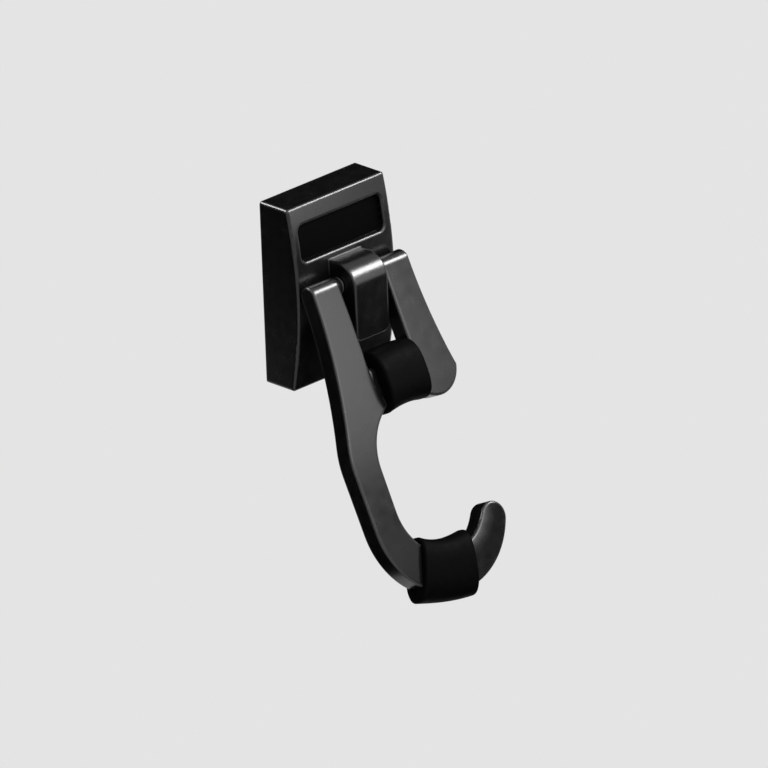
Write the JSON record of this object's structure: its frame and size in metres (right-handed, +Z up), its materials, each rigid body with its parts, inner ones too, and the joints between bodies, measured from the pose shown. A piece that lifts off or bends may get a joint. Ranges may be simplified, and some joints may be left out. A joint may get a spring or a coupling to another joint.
{
  "type": "broom hook",
  "caption": "Wall hook with a crowned block and a hinged yoke that swings down to wedge a broom handle between a cross grip and the rubber pad in its J-shaped hook.",
  "frame": {"origin": "middle of the block's wall face, halfway between the two wall screws", "axes": "+Y into the wall, -Y out of it towards the user, +Z up, +X to the right seen from the front"},
  "size_m": [0.0444, 0.0548, 0.1014],
  "materials": {
    "cast_black": "satin",
    "pin_steel": "satin",
    "grip_rubber": "matte"
  },
  "bodies": {
    "base": {"base_block": "cast_black"},
    "hook": {"hook_yoke": "cast_black", "hinge_pin": "pin_steel", "upper_grip": "grip_rubber", "lower_grip": "grip_rubber"}
  },
  "joints": [
    {"name": "hook_swing", "type": "hinge", "parent": "base", "child": "hook", "pos_m": [0, -0.01585, 0.0026], "axis": [-1, 0, 0], "range_deg": [0, 150]}
  ]
}
